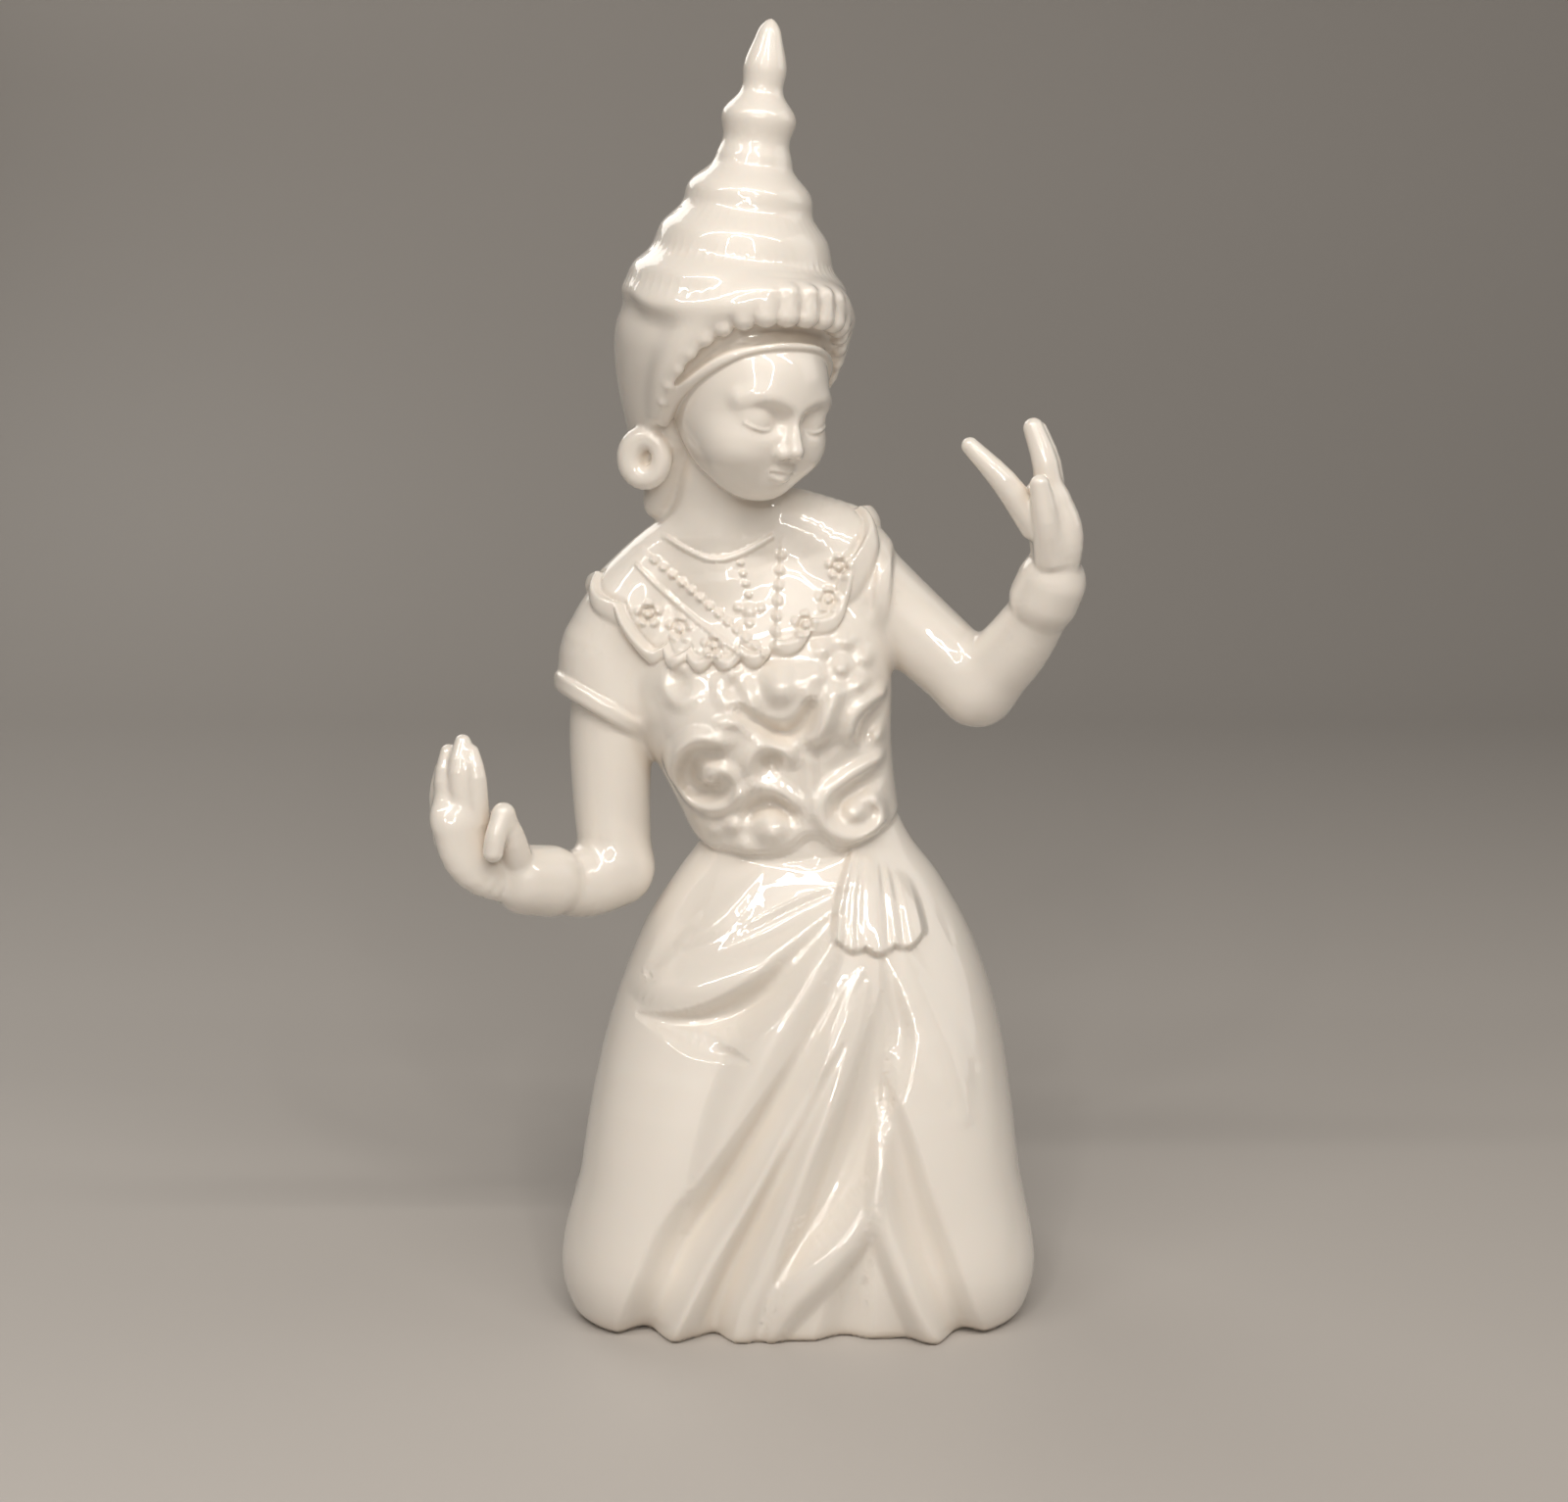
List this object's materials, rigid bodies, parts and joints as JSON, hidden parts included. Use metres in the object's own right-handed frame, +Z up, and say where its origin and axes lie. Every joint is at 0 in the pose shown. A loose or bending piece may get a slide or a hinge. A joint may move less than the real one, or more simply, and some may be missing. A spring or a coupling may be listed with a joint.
{
  "type": "porcelain figurine",
  "caption": "Glazed white porcelain figurine of a kneeling dancer in a tiered pointed crown and draped skirt, hands raised in a dance gesture, on a flat underside.",
  "frame": {"origin": "centre of the footprint on the flat underside", "axes": "+Z up along the figure's height; the figure faces -Y; +X is to the viewer's right, the dancer's left"},
  "size_m": [0.1225, 0.0955, 0.2402],
  "materials": {
    "porcelain": "clear glossy glaze over warm white porcelain"
  },
  "bodies": {
    "root": {"dancer": "porcelain"}
  },
  "joints": []
}
